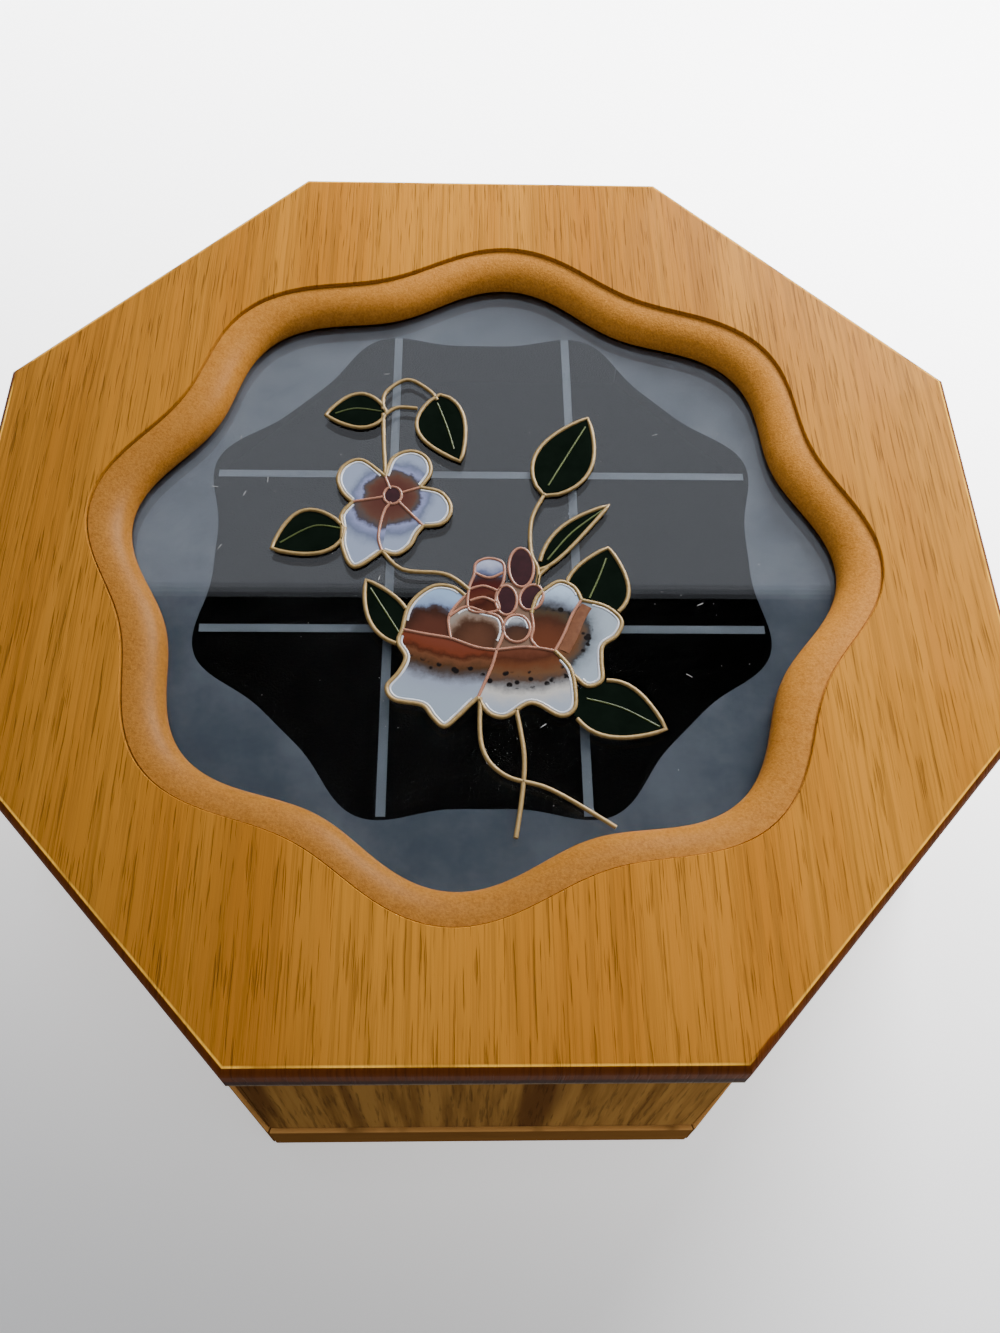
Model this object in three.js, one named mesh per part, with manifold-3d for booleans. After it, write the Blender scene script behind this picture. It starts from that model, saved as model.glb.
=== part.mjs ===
// Eight-sided wooden jewelry box with a lift-off lid. A pane of glass in the lid's wavy window
// carries a raised flower spray. Millimetres, +Z up, origin under the middle of the box.
import * as THREE from 'three';
import { mergeVertices } from 'three/addons/utils/BufferGeometryUtils.js';
import Module from 'manifold-3d';

const wasm = await Module();
wasm.setup();

// Overall plan, an octagon a little deeper than it is wide
const WIDTH = 250;
const DEPTH = 260;
const SIDE = 104;
const HEIGHT = 82;
const GAP = 0.3;
const MITRE_GAP = 0.17;

// Lid board, its rounded edges and the glass under it
const LID_THICKNESS = 10.5;
const LID_TOP_ROUND = 2.2;
const LID_BOTTOM_ROUND = 1;
const GLASS_DEPTH = 7.5;
const GLASS_THICKNESS = 3;
const GLASS_INSET = 29;
const GLASS_CLEARANCE = 0.5;

// Wavy window: mean size of its inner edge, eight waves, and the rounded border round it
const WINDOW_HALF_WIDTH = 84.2;
const WINDOW_HALF_DEPTH = 86.8;
const WAVES = 8;
const WAVE_HEIGHT = 4.4;
const WAVE_TURN = -5.3;
const BORDER_WIDTH = 9.4;
const BORDER_FALL = 5.7;
const STEP_DEPTH = 1;

// Frame under the lid that keeps the glass in and drops inside the walls
const OVERHANG = 2;
const WALL = 8;
const LIP_CLEARANCE = 1;
const FRAME_THICKNESS = 6;
const FRAME_INSET = 34;

// Plinth, bottom board and velvet lining
const PLINTH_HEIGHT = 14;
const PLINTH_PROUD = 1;
const PLINTH_ROUND = 0.6;
const BOTTOM_THICKNESS = 5;
const LINING = 1.2;

// Raised flower spray on the glass
const SPRAY_THICKNESS = 0.8;
const STEM_WIDTH = 1.6;
const LEAF_FULLNESS = 0.8;
const LEAF_ROUNDNESS = 0.85;
const PETAL_FOOT = 2;
const SPRAY_UNIT = 1;

// Fineness of curves
const WAVE_STEPS = 112;
const BORDER_STEPS = 6;
const ROUND_STEPS = 3;
const LEAF_STEPS = 8;
const OVAL_STEPS = 14;
const CURVE_STEPS = 2;
const SNAP = 0.002;

const SIDE_NAMES = ['front', 'front_right', 'right', 'back_right', 'back', 'back_left', 'left', 'front_left'];

const veneer = new THREE.MeshStandardMaterial({ color: 0xb8843c, roughness: 0.42, metalness: 0 });
const darkWood = new THREE.MeshStandardMaterial({ color: 0x6b4a1c, roughness: 0.45, metalness: 0 });
const plinthWood = new THREE.MeshStandardMaterial({ color: 0x5c400f, roughness: 0.4, metalness: 0 });
const clearGlass = new THREE.MeshStandardMaterial({ color: 0xdfe8ea, roughness: 0.05, metalness: 0 });
const velvet = new THREE.MeshStandardMaterial({ color: 0x050505, roughness: 1, metalness: 0 });
const enamel = new THREE.MeshStandardMaterial({ color: 0xc79a4a, roughness: 0.35, metalness: 0.4 });

const root = new THREE.Group();

// The octagon's eight corners, counter-clockwise from the left end of the front side
function octagon() {
  const s = SIDE / 2;
  const w = WIDTH / 2;
  const d = DEPTH / 2;
  return [[-s, -d], [s, -d], [w, -s], [w, s], [s, d], [-s, d], [-w, s], [-w, -s]];
}

// The same octagon with every side moved inward by one distance
function insetOctagon(distance) {
  const p = octagon();
  const n = p.length;
  const lines = p.map((a, i) => {
    const b = p[(i + 1) % n];
    const dx = b[0] - a[0];
    const dy = b[1] - a[1];
    const length = Math.hypot(dx, dy);
    const nx = -dy / length;
    const ny = dx / length;
    return { nx, ny, c: nx * a[0] + ny * a[1] + distance };
  });
  return p.map((_, i) => {
    const e = lines[(i + n - 1) % n];
    const f = lines[i];
    const det = e.nx * f.ny - e.ny * f.nx;
    return [(e.c * f.ny - f.c * e.ny) / det, (e.nx * f.c - f.nx * e.c) / det];
  });
}

// Closed body from outlines stacked at rising heights, all with the same number of points
function stack(levels) {
  const n = levels[0].outline.length;
  const positions = [];
  const index = [];
  for (const level of levels) {
    for (const [x, y] of level.outline) {
      positions.push(x, y, level.z);
    }
  }
  for (let k = 0; k + 1 < levels.length; k += 1) {
    for (let i = 0; i < n; i += 1) {
      const a = k * n + i;
      const b = k * n + (i + 1) % n;
      index.push(a, b, b + n, a, b + n, a + n);
    }
  }
  const low = positions.length / 3;
  positions.push(0, 0, levels[0].z);
  positions.push(0, 0, levels[levels.length - 1].z);
  const top = (levels.length - 1) * n;
  for (let i = 0; i < n; i += 1) {
    const j = (i + 1) % n;
    index.push(low, j, i);
    index.push(low + 1, top + i, top + j);
  }
  const geometry = new THREE.BufferGeometry();
  geometry.setAttribute('position', new THREE.Float32BufferAttribute(positions, 3));
  geometry.setIndex(index);
  return geometry;
}

function solid(geometry) {
  const plain = geometry.clone();
  plain.deleteAttribute('normal');
  plain.deleteAttribute('uv');
  const merged = mergeVertices(plain, 1e-4);
  return new wasm.Manifold(new wasm.Mesh({
    numProp: 3,
    vertProperties: new Float32Array(merged.attributes.position.array),
    triVerts: new Uint32Array(merged.index.array),
  }));
}

function geometryOf(body) {
  const mesh = body.getMesh();
  const geometry = new THREE.BufferGeometry();
  geometry.setAttribute('position', new THREE.BufferAttribute(new Float32Array(mesh.vertProperties), 3));
  geometry.setIndex(new THREE.BufferAttribute(new Uint32Array(mesh.triVerts), 1));
  geometry.computeVertexNormals();
  return geometry;
}

// The same body with its points on a fine grid, so that no face is too thin to keep
function tidied(geometry) {
  const snapped = geometry.clone();
  snapped.deleteAttribute('normal');
  const p = snapped.attributes.position;
  for (let i = 0; i < p.count; i += 1) {
    p.setXYZ(i, ...[p.getX(i), p.getY(i), p.getZ(i)].map((v) => Math.round(v / SNAP) * SNAP));
  }
  const merged = mergeVertices(snapped, SNAP / 2);
  const old = merged.index.array;
  const kept = [];
  for (let k = 0; k < old.length; k += 3) {
    const [a, b, c] = [old[k], old[k + 1], old[k + 2]];
    if (a !== b && b !== c && c !== a) {
      kept.push(a, b, c);
    }
  }
  merged.setIndex(kept);
  merged.computeVertexNormals();
  return merged;
}

function piece(name, geometry, material) {
  const mesh = new THREE.Mesh(geometry, material);
  mesh.name = name;
  root.add(mesh);
  return mesh;
}

// Octagonal plate between two heights, with its outline moved in from the lid's
function plate(inset, bottom, top) {
  const outline = insetOctagon(inset);
  return stack([{ outline, z: bottom }, { outline, z: top }]);
}

// The window's wavy outline, moved outward by one distance
function waveOutline(outward) {
  const outline = [];
  for (let i = 0; i < WAVE_STEPS; i += 1) {
    const angle = i * 2 * Math.PI / WAVE_STEPS;
    const turn = THREE.MathUtils.degToRad(WAVE_TURN);
    const grow = WAVE_HEIGHT * Math.cos(WAVES * (angle - turn)) + outward;
    outline.push([
      (WINDOW_HALF_WIDTH + grow) * Math.cos(angle),
      (WINDOW_HALF_DEPTH + grow) * Math.sin(angle),
    ]);
  }
  return outline;
}

// Lid board: octagon with rounded edges, less the window, its border and the glass rebate
const lidBottom = HEIGHT - LID_THICKNESS;
const glassTop = HEIGHT - GLASS_DEPTH;
const glassBottom = glassTop - GLASS_THICKNESS;
const lidLevels = [
  { outline: insetOctagon(LID_BOTTOM_ROUND), z: lidBottom },
  { outline: insetOctagon(0), z: lidBottom + LID_BOTTOM_ROUND },
];
for (let k = 0; k <= ROUND_STEPS; k += 1) {
  const angle = k / ROUND_STEPS * Math.PI / 2;
  lidLevels.push({
    outline: insetOctagon(LID_TOP_ROUND * (1 - Math.cos(angle))),
    z: HEIGHT - LID_TOP_ROUND * (1 - Math.sin(angle)),
  });
}
const borderTop = HEIGHT - STEP_DEPTH;
const windowLevels = [{ outline: waveOutline(0), z: lidBottom - STEP_DEPTH }];
for (let k = 0; k <= BORDER_STEPS; k += 1) {
  const angle = k / BORDER_STEPS * Math.PI / 2;
  windowLevels.push({
    outline: waveOutline(BORDER_WIDTH * (1 - Math.cos(angle))),
    z: borderTop - BORDER_FALL * (1 - Math.sin(angle)),
  });
}
windowLevels.push({ outline: waveOutline(BORDER_WIDTH), z: HEIGHT + STEP_DEPTH });
const rebate = plate(GLASS_INSET - GLASS_CLEARANCE, lidBottom - STEP_DEPTH, glassTop + GAP);
const lidBoard = solid(stack(lidLevels)).subtract(solid(stack(windowLevels))).subtract(solid(rebate));
piece('lid_panel', geometryOf(lidBoard), veneer);

piece('glass_pane', plate(GLASS_INSET, glassBottom, glassTop), clearGlass);

// Frame that closes the rebate from below and centres the lid between the walls
const frameTop = lidBottom - GAP;
const frameBottom = frameTop - FRAME_THICKNESS;
const frameInset = OVERHANG + WALL + LIP_CLEARANCE;
const frameBody = solid(plate(frameInset, frameBottom, frameTop))
  .subtract(solid(plate(FRAME_INSET, frameBottom - GAP, frameTop + GAP)));
piece('lid_frame', geometryOf(frameBody), darkWood);

// One mitred board of the octagon between two insets, shortened a little at both mitres
function board(side, levels, inner) {
  const shorten = MITRE_GAP;
  const sections = levels.map(({ outer, z }) => {
    const a = insetOctagon(outer);
    const b = insetOctagon(inner);
    const i = side;
    const j = (side + 1) % a.length;
    const along = new THREE.Vector2(a[j][0] - a[i][0], a[j][1] - a[i][1]).normalize();
    const start = (p) => [p[0] + along.x * shorten, p[1] + along.y * shorten];
    const end = (p) => [p[0] - along.x * shorten, p[1] - along.y * shorten];
    return { outline: [start(a[i]), end(a[j]), end(b[j]), start(b[i])], z };
  });
  const middle = sections[0].outline.reduce((m, p) => [m[0] + p[0] / 4, m[1] + p[1] / 4], [0, 0]);
  const centred = sections.map(({ outline, z }) => ({
    outline: outline.map((p) => [p[0] - middle[0], p[1] - middle[1]]),
    z,
  }));
  return { geometry: stack(centred), middle };
}

function placeBoard(name, side, levels, inner, material) {
  const { geometry, middle } = board(side, levels, inner);
  const mesh = piece(name, geometry, material);
  mesh.position.set(middle[0], middle[1], 0);
}

const innerFace = OVERHANG + WALL;
const plinthOuter = OVERHANG - PLINTH_PROUD;
const wallBottom = PLINTH_HEIGHT + GAP;
const liningBottom = BOTTOM_THICKNESS + GAP + LINING + GAP;
SIDE_NAMES.forEach((name, side) => {
  placeBoard(`plinth_${name}`, side, [
    { outer: plinthOuter, z: 0 },
    { outer: plinthOuter, z: PLINTH_HEIGHT - PLINTH_ROUND },
    { outer: plinthOuter + PLINTH_ROUND, z: PLINTH_HEIGHT },
  ], innerFace, plinthWood);
  placeBoard(`wall_${name}`, side, [
    { outer: OVERHANG, z: wallBottom },
    { outer: OVERHANG, z: frameTop },
  ], innerFace, darkWood);
  placeBoard(`lining_${name}`, side, [
    { outer: innerFace + GAP, z: liningBottom },
    { outer: innerFace + GAP, z: frameBottom - GAP },
  ], innerFace + GAP + LINING, velvet);
});

piece('bottom_board', plate(innerFace + GAP, 0, BOTTOM_THICKNESS), plinthWood);
const floorBottom = BOTTOM_THICKNESS + GAP;
piece('lining_floor', plate(innerFace + GAP, floorBottom, floorBottom + LINING), velvet);

// Smooth closed or open curve through plan points
function smooth(points, closed) {
  const curve = new THREE.CatmullRomCurve3(
    points.map(([x, y]) => new THREE.Vector3(x, y, 0)), closed, 'centripetal');
  const line = curve.getPoints(points.length * CURVE_STEPS);
  if (closed) {
    line.pop();
  }
  return line.map((p) => [p.x, p.y]);
}

const sprayBottom = glassTop + GAP;
const turned = ([x, y], angle, length) => [x + length * Math.cos(angle), y + length * Math.sin(angle)];
const radians = THREE.MathUtils.degToRad;
const halfStem = STEM_WIDTH / SPRAY_UNIT / 2;

// Plate of an outline given in units of the spray's own drawing
function flat(outline) {
  const shape = new THREE.Shape(
    outline.map(([x, y]) => new THREE.Vector2(x * SPRAY_UNIT, y * SPRAY_UNIT)));
  const geometry = new THREE.ExtrudeGeometry(shape, { depth: SPRAY_THICKNESS, bevelEnabled: false });
  geometry.translate(0, 0, sprayBottom);
  return solid(geometry);
}

// Pointed leaf from its base to its tip, widest nearer the base, its middle line bowed sideways
function leaf(base, tip, width, bow) {
  const along = Math.atan2(tip[1] - base[1], tip[0] - base[0]);
  const length = Math.hypot(tip[0] - base[0], tip[1] - base[1]);
  const edge = (step, side) => {
    const part = step / LEAF_STEPS;
    const middle = bow * Math.sin(Math.PI * part);
    const half = width / 2 * Math.sin(Math.PI * part ** LEAF_FULLNESS) ** LEAF_ROUNDNESS;
    return turned(turned(base, along, length * part), along + Math.PI / 2, middle + side * half);
  };
  const outline = [];
  for (let step = 0; step <= LEAF_STEPS; step += 1) {
    outline.push(edge(step, -1));
  }
  for (let step = LEAF_STEPS - 1; step > 0; step -= 1) {
    outline.push(edge(step, 1));
  }
  return flat(outline);
}

// Petal between two angles about a flower's heart, its reach named at even angles between them
function petal(heart, start, end, reaches) {
  const outline = [turned(heart, radians((start + end) / 2), PETAL_FOOT)];
  reaches.forEach((reach, i) => {
    outline.push(turned(heart, radians(start + (end - start) * i / (reaches.length - 1)), reach));
  });
  return flat(smooth(outline, true));
}

// Oval bud, cup or berry
function oval(middle, halfWidth, halfHeight) {
  const outline = [];
  for (let step = 0; step < OVAL_STEPS; step += 1) {
    const angle = step * 2 * Math.PI / OVAL_STEPS;
    outline.push([middle[0] + halfWidth * Math.cos(angle), middle[1] + halfHeight * Math.sin(angle)]);
  }
  return flat(outline);
}

// Stem of even width along a curve through its ends and bends
function stem(...bends) {
  const path = smooth(bends, false);
  const left = [];
  const right = [];
  path.forEach((p, i) => {
    const a = path[Math.max(i - 1, 0)];
    const b = path[Math.min(i + 1, path.length - 1)];
    const across = Math.atan2(b[1] - a[1], b[0] - a[0]) + Math.PI / 2;
    left.push(turned(p, across, -halfStem));
    right.unshift(turned(p, across, halfStem));
  });
  return flat([...left, ...right]);
}

const leaves = [
  leaf([-25.8, 44.6], [-42, 43.4], 12, -1),
  leaf([-11.5, 51], [-6, 27.8], 13, -2.2),
  leaf([-35, 5.8], [-53, -0.5], 14, -1.8),
  leaf([15.8, 16.6], [28.3, 43], 15, 0),
  leaf([14, -6.6], [32.3, 13.6], 5.8, 1.6),
  leaf([25.5, -22], [31.5, 0.2], 15.5, 0),
  leaf([-18.6, -28.6], [-29, -10], 9.4, 0),
  leaf([20, -43], [42, -51.2], 15, 0.8),
];
const smallHeart = [-23.3, 16.3];
const smallFlower = [
  petal(smallHeart, 112, 198, [8, 14, 16, 15.5, 12.5, 6]),
  petal(smallHeart, 104, 20, [7, 12.5, 15.5, 15, 11.5, 7]),
  petal(smallHeart, 26, -62, [6.5, 11.5, 14.8, 16, 14.8, 9]),
  petal(smallHeart, -50, -106, [11.5, 13, 17, 18.4, 15, 8]),
  petal(smallHeart, -98, -166, [16, 23, 22.5, 16.5, 14.5, 9]),
  oval(smallHeart, 4, 4.5),
];
const blossom = [
  petal([-6, -21], 70, 192, [7.9, 9.6, 11.5, 12, 12.4, 13.7]),
  petal([2, -27], 172, 262, [21.8, 22, 22.6, 28.6, 26, 25.4, 22.5, 14.1]),
  petal([10, -27], 234, 336, [18, 22, 19.2, 17.8, 22.2, 19, 13.4, 8]),
  petal([13, -26], 96, 36, [8.5, 14, 17, 17, 14.5]),
  petal([18, -26], 62, -74, [11.5, 14.3, 16.1, 12.6, 11.4, 15.6, 11]),
  oval([1.5, -23.3], 10, 5.6),
  oval([8, -27], 14, 8),
  oval([1.4, -11.4], 3.7, 8.2),
];
const berries = [
  oval([9.4, -6], 3.1, 5.9),
  oval([5.5, -15.8], 2.7, 4.3),
  oval([11.7, -14.9], 2.9, 3.8),
];
const stems = [
  stem([-26.8, 45.5], [-26.3, 51.5], [-20.5, 56.3], [-14.5, 52.5], [-11.5, 47]),
  stem([-27.5, 43.4], [-23, 46.2], [-15.6, 46]),
  stem([-27.2, 45], [-25.8, 34], [-24.6, 22]),
  stem([-25.3, 1], [-20, -6.8], [-9.5, -8.1], [0, -13.5]),
  stem([17, 19], [12.4, 9], [11.9, -1], [13.6, -6.5], [12.6, -14]),
  stem([17, -4.5], [13, -8.8], [12.4, -13]),
  stem([-1, -40], [-0.6, -56], [4.5, -63], [15, -66.6], [29, -75.7]),
  stem([7.4, -42], [9, -58], [8.3, -68], [6.7, -78.2]),
];
const spray = [...leaves, ...smallFlower, ...blossom, ...berries, ...stems]
  .reduce((whole, shape) => whole.add(shape));
piece('flower_spray', tidied(geometryOf(spray)), enamel);

export default root;
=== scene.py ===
import math
import random
import bmesh
import bpy
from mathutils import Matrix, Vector


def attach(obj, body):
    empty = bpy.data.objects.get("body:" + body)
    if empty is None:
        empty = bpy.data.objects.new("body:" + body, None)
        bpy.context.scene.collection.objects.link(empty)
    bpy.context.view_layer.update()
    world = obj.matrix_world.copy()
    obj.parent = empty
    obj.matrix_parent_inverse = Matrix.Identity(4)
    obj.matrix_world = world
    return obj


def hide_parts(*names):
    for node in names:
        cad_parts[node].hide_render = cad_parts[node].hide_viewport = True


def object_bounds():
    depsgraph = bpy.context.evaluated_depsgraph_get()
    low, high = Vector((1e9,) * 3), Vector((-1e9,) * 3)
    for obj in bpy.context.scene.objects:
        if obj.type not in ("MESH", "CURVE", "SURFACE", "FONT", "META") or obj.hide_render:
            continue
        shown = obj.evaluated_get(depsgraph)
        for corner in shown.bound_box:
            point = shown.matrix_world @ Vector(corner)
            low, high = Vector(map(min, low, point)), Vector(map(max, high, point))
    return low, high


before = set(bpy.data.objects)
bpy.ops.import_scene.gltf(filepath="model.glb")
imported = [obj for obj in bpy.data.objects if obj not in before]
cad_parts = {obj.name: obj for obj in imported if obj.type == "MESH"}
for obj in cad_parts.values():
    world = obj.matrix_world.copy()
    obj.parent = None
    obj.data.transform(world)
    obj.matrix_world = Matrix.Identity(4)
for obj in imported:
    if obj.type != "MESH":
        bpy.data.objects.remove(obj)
cad_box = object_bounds()


# The view: the box is seen from in front and above, a little turned. The lid fills the frame and
# hides all but a strip of the body below it.
bpy.ops.object.camera_add(
    location=(-0.00502, -0.1823, 0.32819),
    rotation=(math.radians(30.272), math.radians(-1.578), math.radians(-0.7)))
camera = bpy.context.object
camera.name = "view_from_the_front"
camera.data.sensor_fit = "HORIZONTAL"
camera.data.sensor_width = 36
camera.data.lens = 44.456
bpy.context.scene.camera = camera


# The studio: a pale matt table, and behind and above the box a wide white panel with a soft near
# edge, which the glass mirrors over its far half. Two more panels light from above and from
# behind, in an even, dim surrounding.
class Wire:
    """A socket of a material. Sums and products of it add their Math nodes."""

    def __init__(self, tree, socket=None):
        self.tree = tree
        self.socket = socket

    def node(self, kind, inputs=None, out=0, stops=None, **settings):
        made = self.tree.nodes.new(kind)
        for name, value in settings.items():
            setattr(made, name, value)
        for number, (place, colour) in enumerate(stops or []):
            marks = made.color_ramp.elements
            mark = marks[number] if number < 2 else marks.new(place)
            mark.position = place
            mark.color = (*colour, 1)
        for name, value in (inputs or {}).items():
            if isinstance(value, Wire):
                self.tree.links.new(value.socket, made.inputs[name])
            elif made.inputs[name].type == "RGBA":
                made.inputs[name].default_value = (*value, 1)
            else:
                made.inputs[name].default_value = value
        return Wire(self.tree, made.outputs[out])

    def math(self, operation, *values):
        return self.node("ShaderNodeMath", dict(enumerate(values)), operation=operation)

    def __add__(self, other):
        return self.math("ADD", self, other)

    def __sub__(self, other):
        return self.math("SUBTRACT", self, other)

    def __rsub__(self, other):
        return self.math("SUBTRACT", other, self)

    def __mul__(self, other):
        return self.math("MULTIPLY", self, other)

    def between(self, low, high):
        """0 below low, 1 above high, and a soft step in between."""
        return self.node("ShaderNodeMapRange", {0: self, 1: low, 2: high, 3: 0.0, 4: 1.0},
                         interpolation_type="SMOOTHSTEP")

    def blend(self, under, over):
        """One colour laid over another where this value is high."""
        return self.node("ShaderNodeMix", {0: self, 6: under, 7: over}, out=2,
                         data_type="RGBA", clamp_factor=True)

    def with_painted_shade(self, other):
        """A colour darkened by another colour, as painted shade."""
        return self.node("ShaderNodeMix", {0: 1.0, 6: self, 7: other}, out=2,
                         data_type="RGBA", blend_type="MULTIPLY")

    def place(self):
        return self.node("ShaderNodeTexCoord", out=3)

    def axis(self, number):
        return self.node("ShaderNodeSeparateXYZ", {0: self}, out=number)

    def stretched(self, scale):
        return self.node("ShaderNodeMapping", {"Vector": self, "Scale": scale})

    def noise(self, scale, detail=2.0, roughness=0.5):
        return self.node("ShaderNodeTexNoise", {
            "Vector": self, "Scale": scale, "Detail": detail, "Roughness": roughness})

    def far_from(self, point):
        return self.node("ShaderNodeVectorMath", {0: self, 1: point}, out=1, operation="DISTANCE")


def tone(red, green, blue):
    """A colour given by its screen values from 0 to 255."""
    return tuple((v / 255 / 12.92) if v < 11 else ((v / 255 + 0.055) / 1.055) ** 2.4
                 for v in (red, green, blue))


def surface(name, colour, **plain):
    """A new material with its plain values set, and a wire to build its pattern from."""
    made = bpy.data.materials.new(name)
    made.use_nodes = True
    shader = made.node_tree.nodes["Principled BSDF"]
    shader.inputs["Base Color"].default_value = (*colour, 1)
    for socket, value in plain.items():
        shader.inputs[socket.replace("_", " ").title().replace("Ior", "IOR")].default_value = value
    return made, Wire(made.node_tree), shader


def feed(wire, shader, socket):
    """A pattern linked into one socket of the shader."""
    wire.tree.links.new(wire.socket, shader.inputs[socket])


def raise_by(height, shader, distance):
    """Fine relief from a value, in metres."""
    bump = height.node("ShaderNodeBump", {
        "Height": height, "Strength": 1.0, "Distance": distance})
    feed(bump, shader, "Normal")


def pick_nothing():
    bpy.ops.object.select_all(action="DESELECT")


pick_nothing()
bpy.ops.mesh.primitive_plane_add(size=8, location=(0, 1, 0))
table_top = bpy.context.object
table_top.name = "table_top"
table_paint, wire, shader = surface("pale_table", tone(232, 232, 234), roughness=0.45)
cloud = wire.place().noise(3.0, 2.0)
feed(cloud.blend(tone(228, 228, 230), tone(236, 236, 237)), shader, "Base Color")
at = wire.place()
# The table glows, more toward its far side: painted light that brightens the table behind the box.
painted_glow_toward_back = (at.axis(1) + at.axis(0) * 0.4).between(-1.26, -0.6)
feed((painted_glow_toward_back + 0.016).blend(tone(0, 0, 0), tone(255, 255, 255)), shader, "Emission Color")
shader.inputs["Emission Strength"].default_value = 5.0
table_top.data.materials.append(table_paint)


def panel(name, location, width, depth, power):
    """A lamp panel that faces down."""
    bpy.ops.object.light_add(type="AREA", location=location)
    made = bpy.context.object
    made.name = name
    made.data.shape = "RECTANGLE"
    made.data.size = width
    made.data.size_y = depth
    made.data.energy = power
    return made


PANEL_WIDTH, PANEL_DEPTH = 7, 4.4
PANEL_NEAR_EDGE, PANEL_HEIGHT = 1.7, 2.6
PANEL_POWER = 112
COOL_WHITE = (0.94, 0.98, 1.08)
EDGE_STRIP = 0.015
mirrored_panel = panel("panel_seen_in_the_glass", (0, PANEL_NEAR_EDGE + PANEL_DEPTH / 2, PANEL_HEIGHT),
                       PANEL_WIDTH, PANEL_DEPTH, PANEL_POWER)
mirrored_panel.data.color = COOL_WHITE
for number, share in enumerate((0.75, 0.5, 0.25)):
    soft_edge = panel("soft_edge_of_the_panel_%d" % number,
                      (0, PANEL_NEAR_EDGE - EDGE_STRIP * (number + 0.5), PANEL_HEIGHT),
                      PANEL_WIDTH, EDGE_STRIP, PANEL_POWER * share * EDGE_STRIP / PANEL_DEPTH)
    soft_edge.data.color = COOL_WHITE

top_panel = panel("panel_overhead", (0.1, -0.3, 2.2), 1.6, 0.9, 12)
top_panel.visible_glossy = False

back_light = panel("window_light_from_the_back", (0.46, 0.74, 0.56), 0.5, 0.4, 24)
aim = Vector((0.05, 0.1, 0.08)) - back_light.location
back_light.rotation_euler = aim.to_track_quat("-Z", "Y").to_euler()

room = bpy.data.worlds.new("dim_room")
room.use_nodes = True
backdrop = room.node_tree.nodes["Background"]
backdrop.inputs["Color"].default_value = (0.95, 0.97, 1, 1)
backdrop.inputs["Strength"].default_value = 0.3
room.cycles_visibility.glossy = False
room.cycles_visibility.transmission = False
bpy.context.scene.world = room


# The lid board: an eight-sided board, veneered on top, with a wavy window. Round the window a
# half-round border is routed into the bare board, a small step below the veneer. Sizes are in
# millimetres, MM to the metre.
MM = 1000
HALF_WIDTH, HALF_DEPTH, LID_TOP = (round(reach * MM, 2) for reach in cad_box[1])
HALF_SIDE = 52
CORNERS = [(-HALF_SIDE, -HALF_DEPTH), (HALF_SIDE, -HALF_DEPTH),
           (HALF_WIDTH, -HALF_SIDE), (HALF_WIDTH, HALF_SIDE),
           (HALF_SIDE, HALF_DEPTH), (-HALF_SIDE, HALF_DEPTH),
           (-HALF_WIDTH, HALF_SIDE), (-HALF_WIDTH, -HALF_SIDE)]
POINTS_A_SIDE = 44
LID_UNDERSIDE = LID_TOP - 10.5
TOP_ROUND = 2.2
LOWER_ROUND = 1
BORDER_WIDTH = 9.4
BORDER_FALL = 5.7
BORDER_TOP = LID_TOP - 1
BORDER_REACH = 106
GROOVE = 0.35
GLASS_TOP = LID_TOP - 7.5
GLASS_THICKNESS = 3
REBATE_INSET = 28.5
REBATE_ROOF = GLASS_TOP + 0.3
WINDOW_HALF_WIDTH = 84.2
WINDOW_HALF_DEPTH = 86.8
WAVES = 8
WAVE_HEIGHT = 4.4
WAVE_TURN = math.radians(5.3)
SMOOTH_ANGLE = math.radians(32)


def moved_in(distance):
    """The lid's corners with every side moved inward by one distance."""
    lines = []
    for number, (x, y) in enumerate(CORNERS):
        nx, ny = CORNERS[(number + 1) % len(CORNERS)]
        length = math.hypot(nx - x, ny - y)
        across = (-(ny - y) / length, (nx - x) / length)
        lines.append((*across, across[0] * x + across[1] * y + distance))
    result = []
    for number in range(len(CORNERS)):
        a, b, c = lines[number - 1]
        d, e, f = lines[number]
        det = a * e - b * d
        result.append(((c * e - f * b) / det, (a * f - d * c) / det))
    return result


def octagon_run(distance):
    """Points along the eight sides, the same number on each."""
    corner = moved_in(distance)
    run = []
    for number in range(len(corner)):
        (x, y), (nx, ny) = corner[number], corner[(number + 1) % len(corner)]
        for step in range(POINTS_A_SIDE):
            part = step / POINTS_A_SIDE
            run.append((x + (nx - x) * part, y + (ny - y) * part))
    return run


def angles_round():
    """The angle of each point of a wavy outline, so that it lies in line with the octagon's."""
    return [math.atan2(y / HALF_DEPTH, x / HALF_WIDTH) for x, y in octagon_run(0)]


def window_run(outward):
    """The window's wavy outline, moved outward by one distance."""
    run = []
    for angle in angles_round():
        wave = WAVE_HEIGHT * math.cos(WAVES * (angle + WAVE_TURN)) + outward
        run.append(((WINDOW_HALF_WIDTH + wave) * math.cos(angle),
                    (WINDOW_HALF_DEPTH + wave) * math.sin(angle)))
    return run


def settle(made, run, height):
    """Moves the picked ring of points to an outline, in millimetres."""
    mesh = bmesh.from_edit_mesh(made.data)
    step = mesh.verts.layers.int["step"]
    for point in mesh.verts:
        if point.select:
            x, y = run[point[step]]
            point.co = (x / MM, y / MM, height / MM)
    bmesh.update_edit_mesh(made.data)


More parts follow.
